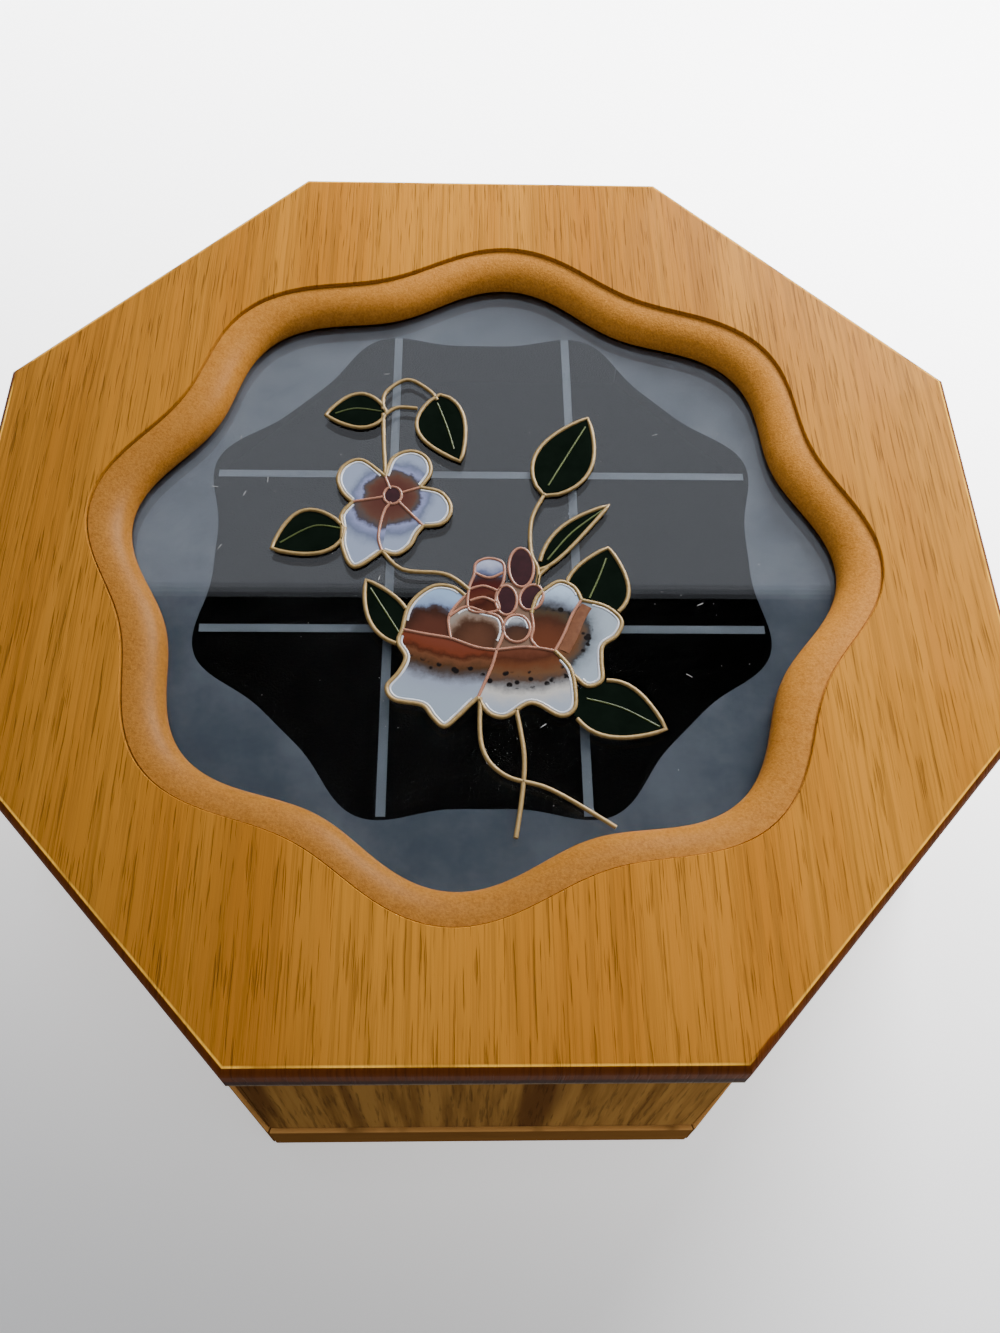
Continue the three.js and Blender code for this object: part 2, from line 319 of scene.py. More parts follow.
def skin_through(name, rings):
    """One ring of points extruded from outline to outline, and at last back to the first one."""
    pick_nothing()
    bpy.ops.mesh.primitive_circle_add(vertices=len(rings[0][0]), radius=0.1)
    made = bpy.context.object
    made.name = name
    bpy.ops.object.mode_set(mode="EDIT")
    bpy.ops.mesh.select_mode(type="VERT")
    bpy.ops.mesh.select_all(action="SELECT")
    mesh = bmesh.from_edit_mesh(made.data)
    step = mesh.verts.layers.int.new("step")
    for number, point in enumerate(mesh.verts):
        point[step] = number
    settle(made, *rings[0])
    for run, height in rings[1:] + rings[:1]:
        bpy.ops.mesh.extrude_region_move()
        settle(made, run, height)
    bpy.ops.mesh.select_all(action="SELECT")
    bpy.ops.mesh.remove_doubles(threshold=1e-7)
    bpy.ops.mesh.select_all(action="SELECT")
    bpy.ops.mesh.normals_make_consistent(inside=False)
    bpy.ops.object.mode_set(mode="OBJECT")
    bpy.ops.object.shade_smooth_by_angle(angle=SMOOTH_ANGLE)
    return made


def quarter(steps):
    """The angles of a quarter turn in even steps."""
    return [step / steps * math.pi / 2 for step in range(steps + 1)]


lid_rings = [(window_run(0), REBATE_ROOF)]
lid_rings += [(window_run(BORDER_WIDTH * (1 - math.cos(a))), BORDER_TOP - BORDER_FALL * (1 - math.sin(a)))
              for a in quarter(10)]
lid_rings += [(window_run(BORDER_WIDTH + 0.1), BORDER_TOP - GROOVE),
              (window_run(BORDER_WIDTH + 0.35), BORDER_TOP - GROOVE),
              (window_run(BORDER_WIDTH + 0.4), LID_TOP - 0.2),
              (window_run(BORDER_WIDTH + 0.6), LID_TOP)]
lid_rings += [(octagon_run(TOP_ROUND * (1 - math.cos(a))), LID_TOP - TOP_ROUND * (1 - math.sin(a)))
              for a in reversed(quarter(5))]
lid_rings += [(octagon_run(0), LID_UNDERSIDE + LOWER_ROUND),
              (octagon_run(LOWER_ROUND), LID_UNDERSIDE),
              (octagon_run(REBATE_INSET), LID_UNDERSIDE),
              (octagon_run(REBATE_INSET), REBATE_ROOF)]
lid_board = skin_through("lid_board", lid_rings)

lid_finish, wire, shader = surface("oak_veneer_and_routed_border", tone(190, 132, 60), roughness=0.5,
                                   specular_ior_level=0.01)
at = wire.place()
height = at.axis(2)
flat = at.node("ShaderNodeVectorMath", {0: at, 1: (1, 1, 0)}, operation="MULTIPLY")
from_middle = flat.far_from((0, 0, 0))
bands = at.stretched((55, 2.5, 5)).noise(1.0, 3.0, 0.55)
grain = at.stretched((300, 8, 20)).noise(1.0, 4.0, 0.6)
threads = at.stretched((900, 16, 60)).noise(1.0, 3.0, 0.6)
pores = at.stretched((1300, 50, 60)).noise(1.0, 2.0, 0.6)
streak = grain.between(0.42, 0.72)
thread = threads.between(0.44, 0.66)
pore = pores.between(0.57, 0.68)
veneer = bands.between(0.3, 0.7).blend(tone(189, 127, 42), tone(171, 109, 32))
veneer = (streak * 0.4).blend(veneer, tone(136, 88, 28))
veneer = (thread * 0.38).blend(veneer, tone(128, 84, 28))
veneer = (pore * 0.42).blend(veneer, tone(92, 56, 20))
# In the photo the lid is darker toward its front left, probably from the room's light. The veneer
# and the border have that in their colours, so it shows from every side.
from_front_left = (at.axis(0) + at.axis(1) * 0.35).between(-0.16, 0.04)
shade = from_front_left.blend(tone(202, 202, 202), tone(255, 255, 255))
veneer = veneer.with_painted_shade(shade)
speck = at.noise(1500.0, 3.0, 0.75)
patch = at.noise(420.0, 2.0)
bare = speck.between(0.2, 0.8).blend(tone(158, 100, 33), tone(204, 136, 53))
bare = (patch.between(0.35, 0.65) * 0.12).blend(bare, tone(222, 158, 76))
# The border too is painted darker toward its front left: painted shade.
from_front_left = (at.axis(0) + at.axis(1)).between(-0.13, 0.13)
shade = from_front_left.blend(tone(186, 186, 186), tone(255, 255, 255))
bare = bare.with_painted_shade(shade)
# The lid's bare edge is stained brown. By height it runs from a pale grey line at the bottom, a painted
# reflection of the pale table, through a dark band, painted shade, up to the brown.
side = (height + (grain - 0.5) * 0.0012).between(LID_UNDERSIDE / MM, LID_TOP / MM)
side = side.node("ShaderNodeValToRGB", {0: side}, stops=[
    (0.0, tone(120, 100, 76)), (0.06, tone(106, 84, 58)), (0.12, tone(47, 20, 8)),
    (0.34, tone(54, 24, 9)), (0.52, tone(92, 44, 13)), (1.0, tone(102, 52, 17))])
side = (thread * 0.35).blend(side, tone(48, 22, 9))
# A bright line along the top arris, broken up by noise, is a painted highlight.
arris = height.between((LID_TOP - 0.22) / MM, (LID_TOP - 0.14) / MM)
painted_highlight = arris * at.noise(70.0, 3.0).between(0.25, 0.55)
side = painted_highlight.blend(side, tone(255, 189, 66))
past_border = from_middle.between(BORDER_REACH / MM, (BORDER_REACH + 0.4) / MM)
on_border = (1 - height.between(BORDER_TOP / MM, (BORDER_TOP + 0.6) / MM)) * (1 - past_border)
on_edge = (1 - height.between((LID_TOP - 0.1) / MM, (LID_TOP - 0.03) / MM)) * past_border
colour = on_border.blend(veneer, bare)
colour = on_edge.blend(colour, side)
feed(colour, shader, "Base Color")
sunk = (streak * 0.5 + thread * 0.5 + pore) * (1 - on_border)
raise_by(speck * on_border * 1.2 - sunk, shader, 0.00014)
feed(on_border * 0.07 + 0.05, shader, "Coat Weight")
shader.inputs["Coat Roughness"].default_value = 0.42
lid_board.data.materials.append(lid_finish)
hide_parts("lid_panel")
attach(lid_board, "root")


# The window's glass: a clear pane in a rebate under the lid. It looks dark because the box below
# it is lined in black.
glass = bpy.data.objects["glass_pane"]
clear, wire, shader = surface("clear_pane", (0.95, 0.98, 1.0), roughness=0.0,
                              transmission_weight=1.0, ior=1.5)
glass.data.materials.clear()
glass.data.materials.append(clear)


# The frosting: on the glass's underside a grey frosted field runs round a clear, many-pointed
# middle, which thin frosted bars part into nine panes.
FROST_HEIGHT = GLASS_TOP - GLASS_THICKNESS - 0.1
FROST_THICKNESS = 0.06
FROST_OVERLAP = 1.2
CLEAR_HALF_WIDTH = 70.5
CLEAR_HALF_DEPTH = 74.4
BAR_WIDTH = 2.2
BAR_LENGTH = 147
CROSSBAR_LENGTH = 138
BAR_HEIGHT = FROST_HEIGHT - 0.06
BAR_THICKNESS = 0.05


def clear_edge(angle):
    """The clear field's edge, its lower half a little shorter."""
    swell = 0.8 * math.cos(2 * WAVES * angle) - 3.9 * math.cos(WAVES * angle)
    x = (CLEAR_HALF_WIDTH + swell) * math.cos(angle)
    y = (CLEAR_HALF_DEPTH + swell) * math.sin(angle)
    return (x, y if y > 0 else y * 0.985)


clear_run = [clear_edge(angle) for angle in angles_round()]
frost_run = window_run(FROST_OVERLAP)
frosted_field = skin_through("frosted_field", [
    (clear_run, FROST_HEIGHT), (frost_run, FROST_HEIGHT),
    (frost_run, FROST_HEIGHT + FROST_THICKNESS), (clear_run, FROST_HEIGHT + FROST_THICKNESS)])
frosting, wire, shader = surface("frosting", tone(86, 95, 108), roughness=0.7, alpha=0.82)
at = wire.place()
haze = at.noise(34.0, 5.0, 0.65)
feed(haze.between(0.3, 0.7).blend(tone(80, 89, 103), tone(116, 122, 134)), shader, "Base Color")
frosted_field.data.materials.append(frosting)
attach(frosted_field, "root")

pick_nothing()
bars = []
for x, y, width, length in [(-23.4, 1.5, BAR_WIDTH, BAR_LENGTH), (23.4, 1.5, BAR_WIDTH, BAR_LENGTH),
                            (0, 25.2, CROSSBAR_LENGTH, BAR_WIDTH), (0, -22.5, CROSSBAR_LENGTH, BAR_WIDTH)]:
    bpy.ops.mesh.primitive_cube_add(size=1, location=(x / MM, y / MM, BAR_HEIGHT / MM),
                                    scale=(width / MM, length / MM, BAR_THICKNESS / MM))
    bars.append(bpy.context.object)
for bar in bars:
    bar.select_set(True)
bpy.ops.object.join()
frosted_bars = bpy.context.object
frosted_bars.name = "frosted_bars"
bpy.ops.object.transform_apply(location=True, rotation=True, scale=True)
bar_frosting, wire, shader = surface("bar_frosting", tone(120, 128, 140), roughness=0.7, alpha=0.85)
haze = wire.place().noise(60.0, 3.0, 0.6)
feed(haze.blend(tone(114, 122, 134), tone(144, 152, 162)), shader, "Base Color")
frosted_bars.data.materials.append(bar_frosting)
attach(frosted_bars, "root")


# The flower spray: lines of raised gold paste on the glass, their fields filled with enamel.
# Two crossed stems carry a large blossom with a bud and berries, a small five-petalled flower
# and eight leaves. Softer peach lines part the petals inside each flower.
PASTE_WIDTH = 1.1
PASTE_HEIGHT = 0.9
RIDGE = 0.85
VEIN_WIDTH = 0.5
RIM_WIDTH = 0.7
AMBER_WIDTH = 3.4
ENAMEL_TOP = GLASS_TOP + 0.55
FIELD_THICKNESS = 0.4
RUN_STEPS = 6
LEAF_STEPS = 14
OVAL_STEPS = 24


def smooth(points, closed=False):
    """A smooth run through a few points."""
    count = len(points)
    run = []
    for number in range(count if closed else count - 1):
        if closed:
            four = [points[(number + k) % count] for k in (-1, 0, 1, 2)]
        else:
            four = [points[min(max(number + k, 0), count - 1)] for k in (-1, 0, 1, 2)]
        for step in range(RUN_STEPS):
            t = step / RUN_STEPS
            run.append(tuple(
                0.5 * (2 * b + (c - a) * t + (2 * a - 5 * b + 4 * c - d) * t * t
                       + (3 * b - a - 3 * c + d) * t ** 3)
                for a, b, c, d in zip(*four)))
    if not closed:
        run.append(tuple(points[-1]))
    return run


def leaf(base, tip, width, bow):
    """A pointed leaf, widest a little nearer to its base, its middle line bowed to the left."""
    dx, dy = tip[0] - base[0], tip[1] - base[1]
    length = math.hypot(dx, dy)
    nx, ny = -dy / length, dx / length
    sides = {1: [], -1: []}
    for side, points in sides.items():
        for step in range(LEAF_STEPS + 1):
            t = step / LEAF_STEPS
            off = bow * math.sin(math.pi * t) + side * width / 2 * math.sin(math.pi * t ** 0.8) ** 0.85
            points.append((base[0] + dx * t + nx * off, base[1] + dy * t + ny * off))
    return sides[-1] + sides[1][-2:0:-1]


def about(heart, angle, reach):
    """The point at an angle and a distance from a flower's heart."""
    turn = math.radians(angle)
    return (heart[0] + reach * math.cos(turn), heart[1] + reach * math.sin(turn))


def rim(heart, start, end, reaches):
    """A petal's rim between two angles, its reach given at even angles."""
    last = len(reaches) - 1
    return smooth([about(heart, start + (end - start) * k / last, reach)
                   for k, reach in enumerate(reaches)])


def oval(middle, half_width, half_height, turn=0.0):
    """A round or oval field."""
    points = []
    c, s = math.cos(math.radians(turn)), math.sin(math.radians(turn))
    for k in range(OVAL_STEPS):
        a = k / OVAL_STEPS * 2 * math.pi
        x, y = half_width * math.cos(a), half_height * math.sin(a)
        points.append((middle[0] + x * c - y * s, middle[1] + x * s + y * c))
    return points


def to_mesh(name, curve, lift, flatten=1.0):
    """A curve turned into a mesh and lifted to its height, in millimetres."""
    made = bpy.data.objects.new(name, curve)
    bpy.context.collection.objects.link(made)
    pick_nothing()
    made.select_set(True)
    bpy.context.view_layer.objects.active = made
    bpy.ops.object.convert(target="MESH")
    made = bpy.context.object
    made.scale = (1, 1, flatten)
    made.location = (0, 0, lift / MM)
    bpy.ops.object.transform_apply(location=True, rotation=True, scale=True)
    return made


def outside(points, fields):
    """The part of a closed outline that lies outside some fields, as one open run."""
    free = []
    for x, y in points:
        hidden = False
        for field in fields:
            crossings = 0
            for (ax, ay), (bx, by) in zip(field, field[1:] + field[:1]):
                if (ay > y) != (by > y) and x < ax + (y - ay) / (by - ay) * (bx - ax):
                    crossings += 1
            hidden = hidden or crossings % 2 == 1
        free.append(not hidden)
    first = next((k for k in range(len(points)) if free[k] and not free[k - 1]), 0)
    ordered = [(k + first) % len(points) for k in range(len(points))]
    run = []
    for k in ordered:
        if not free[k]:
            break
        run.append(points[k])
    return run


def draw(curve, points, closed):
    """One run of points added to a curve."""
    line = curve.splines.new("POLY")
    line.points.add(len(points) - 1)
    for knot, (x, y) in zip(line.points, points):
        knot.co = (x / MM, y / MM, 0, 1)
    line.use_cyclic_u = closed


def paste_lines(name, runs, width, tall):
    """Raised lines as one mesh: half-round beads that follow their runs over the glass."""
    curve = bpy.data.curves.new(name, "CURVE")
    curve.dimensions = "3D"
    curve.bevel_depth = width / 2 / MM
    curve.bevel_resolution = 3
    curve.use_fill_caps = True
    for points, closed in runs:
        draw(curve, points, closed)
    made = to_mesh(name, curve, GLASS_TOP + 0.02 + tall / 2, tall / width)
    bpy.ops.object.shade_smooth()
    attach(made, "root")
    return made


def moved_inside(outline, distance):
    """A closed outline with every point moved inward."""
    count = len(outline)
    area = sum(outline[k - 1][0] * outline[k][1] - outline[k][0] * outline[k - 1][1] for k in range(count))
    result = []
    for k, (x, y) in enumerate(outline):
        dx = outline[(k + 1) % count][0] - outline[k - 1][0]
        dy = outline[(k + 1) % count][1] - outline[k - 1][1]
        length = math.copysign(math.hypot(dx, dy) or 1, area)
        result.append((x - dy / length * distance, y + dx / length * distance))
    return result


def enamel_field(name, outlines, finish, lift=0.0):
    """Flat fields of enamel inside closed outlines, joined into one object."""
    fields = []
    for points in outlines:
        curve = bpy.data.curves.new(name, "CURVE")
        curve.dimensions = "2D"
        curve.fill_mode = "BOTH"
        curve.extrude = FIELD_THICKNESS / 2 / MM
        draw(curve, points, True)
        fields.append(to_mesh(name, curve, ENAMEL_TOP + lift - FIELD_THICKNESS / 2))
    pick_nothing()
    for field in fields:
        field.select_set(True)
    bpy.context.view_layer.objects.active = fields[0]
    if len(fields) > 1:
        bpy.ops.object.join()
    made = bpy.context.object
    made.name = name
    made.data.materials.clear()
    made.data.materials.append(finish)
    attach(made, "root")


def shaded_enamel(name, heart, near, far, stops, specks=None):
    """Enamel whose colours change with the distance from a point, in millimetres. Each stop is a
    place from 0 to 1 and a colour, and specks says between which places dark specks lie."""
    stops = [(place, tone(*colour)) for place, *colour in stops]
    made, wire, shader = surface(name, stops[-1][1], roughness=0.3, specular_ior_level=0.08)
    at = wire.place()
    away = at.far_from((heart[0] / MM, heart[1] / MM, ENAMEL_TOP / MM))
    drift = (at.noise(330.0, 3.0, 0.65) - 0.5) * 0.0035
    part = (away + drift).between(near / MM, far / MM)
    colour = part.node("ShaderNodeValToRGB", {0: part}, stops=stops)
    if specks:
        dots = at.node("ShaderNodeTexVoronoi", {"Vector": at, "Scale": 520.0})
        zone = part.between(specks[0] - 0.06, specks[0]) * (1 - part.between(specks[1], specks[1] + 0.06))
        dark = (1 - dots.between(0.30, 0.44)) * zone * at.noise(170.0).between(0.44, 0.5)
        colour = dark.blend(colour, tone(14, 10, 10))
    feed(colour, shader, "Base Color")
    return made


SMALL_HEART = (-23.3, 16.3)
small_rims = [
    rim(SMALL_HEART, 21, 108.7, (7.5, 12.3, 15.2, 15.4, 12.4, 6.6)),
    rim(SMALL_HEART, 108.7, 191.6, (6.6, 14.2, 16.1, 15.4, 13.0, 10.4)),
    rim(SMALL_HEART, -168.4, -97, (10.4, 14.2, 16.2, 20.5, 24.0, 17.6)),
    rim(SMALL_HEART, -97, -50, (17.6, 18.5, 16.6, 13.6, 12.6)),
    rim(SMALL_HEART, -50, 21, (12.6, 15.4, 15.9, 14.7, 12.0, 7.5)),
]
small_fields = [points + [about(SMALL_HEART, 0, 0)] for points in small_rims]
small_ridges = [[about(SMALL_HEART, angle, 2.2), about(SMALL_HEART, angle, reach)]
                for angle, reach in ((21, 7.5), (108.7, 6.6), (191.6, 10.4), (-50, 12.6))]
small_ridges.append(smooth([
    about(SMALL_HEART, -97, 2.2), (-25.2, 11.5), (-26.2, 6.5), (-26.4, 2.5), (-25.4, -1.2)]))
small_heart = oval(SMALL_HEART, 2.3, 2.8)

leaves = [
    leaf((-25.8, 44.6), (-42, 43.4), 12, -1),
    leaf((-11.5, 51), (-6, 27.8), 13, -2.2),
    leaf((-35, 5.8), (-53, -0.5), 14, -1.8),
    leaf((15.8, 16.6), (28.3, 43), 15, 0),
    leaf((14, -6.6), (32.3, 13.6), 5.8, 1.6),
    leaf((25.5, -22), (31.5, 0.2), 15.5, 0),
    leaf((-18.6, -28.6), (-29, -10), 9.4, 0),
    leaf((20, -43), (42, -51.2), 15, 0.8),
]
veins = [
    [(-27, 44.8), (-34, 45.8), (-39.5, 44)],
    [(-12.2, 48), (-9.6, 40), (-7.6, 32)],
    [(-36, 5.8), (-43, 6.4), (-51, 1.2)],
    [(17, 20), (22, 29.5), (27.6, 40)],
    [(16, -3.6), (22.4, 4.8), (30.6, 12)],
    [(26, -15), (28.6, -9), (30.8, -3)],
    [(-20, -26), (-24, -19), (-27.8, -12.4)],
    [(24, -43.2), (32, -45.6), (40.6, -50.6)],
]

TOP_LEFT, TOP_SEAM, LOW_SEAM = (-19.7, -24.3), (3, -30), (-1.5, -43)
RIGHT_SEAM, RIGHT_TOP = (17, -30.2), (24, -15.6)
band = smooth([TOP_LEFT, (-14, -25.6), (-8, -26.8), (-2, -29.2), TOP_SEAM])
band_right = smooth([TOP_SEAM, (9, -29.2), (13, -29.4), RIGHT_SEAM])
seam = smooth([TOP_SEAM, (2, -34), (0.3, -38.5), LOW_SEAM])
low_left_rim = smooth([TOP_LEFT, (-20.6, -28), (-18.7, -32), (-20.2, -36.2), (-22.9, -40.2), (-21, -43.6),
                       (-14.5, -45), (-12, -48.2), (-9.3, -50.6), (-6.2, -48), (-3.5, -45), LOW_SEAM])
low_right_rim = smooth([LOW_SEAM, (1, -47), (5, -48), (11, -44.3), (17.5, -47.7), (20.9, -46), (21.4, -41),
                        (20.5, -35), RIGHT_SEAM])
right_rim = smooth([RIGHT_TOP, (30, -17.5), (33.5, -21.5), (32, -25.8), (28.6, -28.6), (28, -33),
                    (27.8, -38.2), (24.4, -39.8), (21.4, -37)])
right_seam = smooth([RIGHT_TOP, (21.5, -20), (19.3, -25.5), RIGHT_SEAM])
high_right_rim = smooth([(11.6, -19.5), (13, -15), (15.5, -12.2), (19, -10.1), (22.5, -12), RIGHT_TOP])
high_right_foot = smooth([(13, -29.4), (11.4, -27), (12, -23.5), (11.6, -19.5)])
high_left_rim = smooth([TOP_LEFT, (-18.6, -18.5), (-16, -14.4), (-12, -11.6), (-7.5, -12), (-4.5, -14.5)])
high_left_foot = smooth([(-4.5, -14.5), (-7.2, -18), (-8.6, -21.5), (-8, -26.8)])
cup_rim = smooth([(-8.4, -20.6), (-4.5, -17.8), (0, -19.2), (3.8, -20.8), (4.7, -25), TOP_SEAM])
small_cup = oval((7.9, -23.9), 3.3, 3.9)
bud = smooth([(-3.4, -18.8), (-3.6, -12.5), (-2.4, -8.5), (-1.8, -4.8), (1.3, -3.3), (4.9, -4.8), (4.9, -10),
              (3.2, -14.5), (3.4, -18.8)], True)
berries = [oval((9.4, -6), 3.1, 5.9), oval((5.5, -15.8), 2.6, 4.3), oval((11.7, -14.9), 2.8, 3.8, -20)]
bud_ridges = [smooth([(-2.3, -7.6), (1.4, -9.2), (4.9, -7.6)]),
              smooth([(-3.4, -12.6), (0, -11.6), (3.8, -13.2)]),
              smooth([(-3.4, -16), (0, -15), (3.2, -16.6)])]
stems = [
    [(-26.8, 45.5), (-26.3, 51.5), (-20.5, 56.3), (-14.5, 52.5), (-12.2, 49)],
    [(-26.4, 43.4), (-23, 46.2), (-17.6, 46)],
    [(-26.7, 44), (-26.2, 34), (-25.4, 23)],
    [(-25.3, -1.3), (-20, -6.8), (-9.5, -8.1), (-3.4, -12.8)],
    [(16, 17.3), (12.4, 9), (11.9, -1), (13.6, -6.5), (13.2, -11.4)],
    [(16, -6), (13.8, -8.4), (13.2, -11.4)],
    [(-1, -43), (-0.6, -56), (4.5, -63), (15, -66.6), (29, -75.7)],
    [(7.4, -46), (9, -58), (8.3, -68), (6.7, -78.2)],
]

petals = {
    "low_left_petal": low_left_rim + seam[::-1] + band[::-1],
    "low_right_petal": low_right_rim + band_right[::-1] + seam,
    "right_petal": right_rim + low_right_rim[-4:] + right_seam[::-1],
    "high_right_petal": high_right_rim + right_seam + [(13, -29.4)] + high_right_foot,
    "high_left_petal": high_left_rim + high_left_foot + band[:2 * RUN_STEPS + 1][::-1],
    "large_cup": cup_rim + band[2 * RUN_STEPS:][::-1],
    "small_cup": small_cup,
    "bud": bud,
}
flower_heads = [
    petals["low_left_petal"], petals["low_right_petal"], right_rim + right_seam[::-1],
    high_right_rim + right_seam + high_right_foot, petals["high_left_petal"], *berries]
gold_lines = paste_lines(
    "gold_lines",
    [(points, True) for points in leaves[:4]]
    + [(outside(points, flower_heads), False) for points in leaves[4:]]
    + [(points, False) for points in small_rims]
    + [(points, False) for points in (low_left_rim, low_right_rim, right_rim, high_right_rim, high_left_rim)]
    + [(smooth(points), False) for points in stems],
    PASTE_WIDTH, PASTE_HEIGHT)
gold, wire, shader = surface("gold_paste", tone(176, 144, 88), roughness=0.45, metallic=0.2)
at = wire.place()
worn = at.noise(900.0, 3.0, 0.6)
feed(worn.blend(tone(118, 94, 50), tone(168, 140, 88)), shader, "Base Color")
raise_by(worn, shader, 0.00012)
gold_lines.data.materials.append(gold)
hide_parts("flower_spray")

peach_ridges = paste_lines(
    "peach_ridges",
    [(points, False) for points in small_ridges + bud_ridges
     + [band, band_right, seam, right_seam, high_right_foot, high_left_foot, cup_rim]]
    + [(points, True) for points in [small_cup, bud, small_heart] + berries],
    RIDGE, RIDGE)
peach, wire, shader = surface("peach_paste", tone(206, 150, 116), roughness=0.3)
at = wire.place()
feed(at.noise(400.0, 2.0).blend(tone(129, 88, 71), tone(171, 117, 93)), shader, "Base Color")
peach_ridges.data.materials.append(peach)

amber_run = [(x + 1.9, y - 0.6) for x, y in right_seam[2:-1]]
amber_band = paste_lines("amber_band", [(amber_run, False)], AMBER_WIDTH, AMBER_WIDTH / 5)
amber, wire, shader = surface("amber_band", tone(105, 67, 45), roughness=0.3, specular_ior_level=0.15)
at = wire.place()
feed(at.noise(500.0, 3.0, 0.6).blend(tone(82, 47, 30), tone(119, 78, 53)), shader, "Base Color")
amber_band.data.materials.append(amber)

leaf_veins = paste_lines("leaf_veins", [(smooth(points), False) for points in veins], VEIN_WIDTH, 0.7)
olive, wire, shader = surface("olive_vein", tone(78, 90, 40), roughness=0.4)
at = wire.place()
feed(at.noise(120.0, 2.0).blend(tone(40, 52, 30), tone(96, 108, 46)), shader, "Base Color")
leaf_veins.data.materials.append(olive)

green, wire, shader = surface("leaf_green", tone(16, 26, 22), roughness=0.5, specular_ior_level=0.0)
at = wire.place()
feed(at.noise(160.0, 3.0, 0.6).blend(tone(5, 9, 6), tone(15, 23, 17)), shader, "Base Color")
enamel_field("leaf_enamel", leaves, green, -0.06)

rim_runs = [(moved_inside(points, 0.8)[1:-1], False) for points in small_fields]
rim_runs += [(moved_inside(petals[name], 0.8)[3:len(run) - 3], False) for name, run in (
    ("low_left_petal", low_left_rim), ("low_right_petal", low_right_rim), ("right_petal", right_rim),
    ("high_right_petal", high_right_rim), ("high_left_petal", high_left_rim), ("large_cup", cup_rim))]
rim_runs.append((moved_inside(small_cup, 0.7)[:OVAL_STEPS // 2], False))
pale_rims = paste_lines("pale_rims", rim_runs, RIM_WIDTH, RIM_WIDTH)
pale, wire, shader = surface("pale_enamel", tone(185, 194, 210), roughness=0.3, specular_ior_level=0.4)
at = wire.place()
feed(at.noise(260.0, 2.0).blend(tone(140, 148, 165), tone(226, 226, 226)), shader, "Base Color")
pale_rims.data.materials.append(pale)
for number, points in enumerate(small_fields):
    finish = shaded_enamel(
        "small_petal_colours_%d" % number, SMALL_HEART, 2.5, (13, 12, 18, 15, 12)[number],
        [(0.0, 70, 37, 31), (0.3, 77, 50, 40), (0.44, 70, 59, 55), (0.52, 58, 54, 60),
         (0.64, 116, 122, 155), (0.84, 88, 95, 117), (1.0, 124, 134, 154)])
    enamel_field("small_petal_%d" % number, [points], finish)
shades = {
    "low_left_petal": ((-4, -4), 23.5, 41, (0.38, 0.56),
        [(0.0, 94, 45, 30), (0.1, 91, 41, 23), (0.17, 62, 28, 13), (0.25, 88, 53, 33),
         (0.4, 62, 40, 23), (0.52, 58, 50, 47), (0.62, 82, 81, 87), (0.8, 124, 132, 148),
         (1.0, 129, 140, 153)]),
    "low_right_petal": ((8, -4), 24.5, 43, (0.4, 0.66),
        [(0.0, 89, 48, 32), (0.12, 64, 31, 16), (0.24, 84, 47, 26), (0.42, 86, 58, 37),
         (0.56, 66, 51, 43), (0.68, 98, 97, 98), (0.84, 166, 163, 159), (1.0, 138, 146, 159)]),
    "right_petal": ((13, -24), 6, 18, (0.36, 0.66),
        [(0.0, 90, 57, 37), (0.24, 84, 53, 31), (0.4, 71, 55, 43), (0.54, 48, 47, 48),
         (0.68, 105, 113, 121), (1.0, 137, 148, 159)]),
    "high_right_petal": ((14.5, -30), 3, 19, (0.6, 0.72),
        [(0.0, 81, 42, 24), (0.3, 58, 30, 17), (0.5, 58, 45, 31), (0.62, 39, 36, 36),
         (0.76, 92, 98, 110), (1.0, 156, 176, 198)]),
    "high_left_petal": ((-13, -25), 2, 12, None,
        [(0.0, 70, 37, 27), (0.4, 47, 26, 18), (0.56, 54, 47, 51), (0.72, 109, 126, 155),
         (1.0, 127, 151, 180)]),
    "large_cup": ((-2, -27), 1, 8.4, None,
        [(0.0, 75, 46, 32), (0.55, 58, 35, 23), (0.72, 77, 58, 46), (0.86, 110, 92, 81),
         (1.0, 121, 111, 102)]),
    "small_cup": ((8, -28), 1, 7.6, None,
        [(0.0, 67, 42, 29), (0.55, 51, 33, 26), (0.75, 93, 95, 100), (1.0, 149, 152, 159)]),
    "bud": ((1.4, -20), 0, 16.8, None,
        [(0.0, 66, 30, 16), (0.14, 48, 16, 8), (0.3, 72, 32, 20), (0.5, 60, 18, 14),
         (0.64, 51, 20, 17), (0.74, 47, 37, 44), (0.84, 84, 90, 116), (1.0, 152, 157, 177)]),
}
for name, (heart, near, far, specks, stops) in shades.items():
    above = 0.05 if name in ("large_cup", "small_cup", "bud") else 0.0
    finish = shaded_enamel(name + "_colours", heart, near, far, stops, specks)
    enamel_field(name, [petals[name]], finish, above)
ground = smooth([
    (-4.5, -14.5), (0, -13), (6, -10.5), (13, -14), (11.6, -19.5), (12.2, -24), (13, -29.2), TOP_SEAM,
    (-8, -26.6), (-8.6, -21.5), (-7.2, -18)], True)
enamel_field("blossom_ground", [ground], shaded_enamel(
    "peach_ground", (0, -24), 2, 12, [(0.0, 71, 44, 29), (1.0, 105, 83, 69)]), -0.06)

wine, wire, shader = surface("dark_red_enamel", tone(60, 8, 14), roughness=0.25, specular_ior_level=0.12)
at = wire.place()
feed(at.noise(300.0, 3.0, 0.6).blend(tone(22, 15, 17), tone(59, 28, 33)), shader, "Base Color")
enamel_field("berries", berries + [small_heart], wine, 0.08)


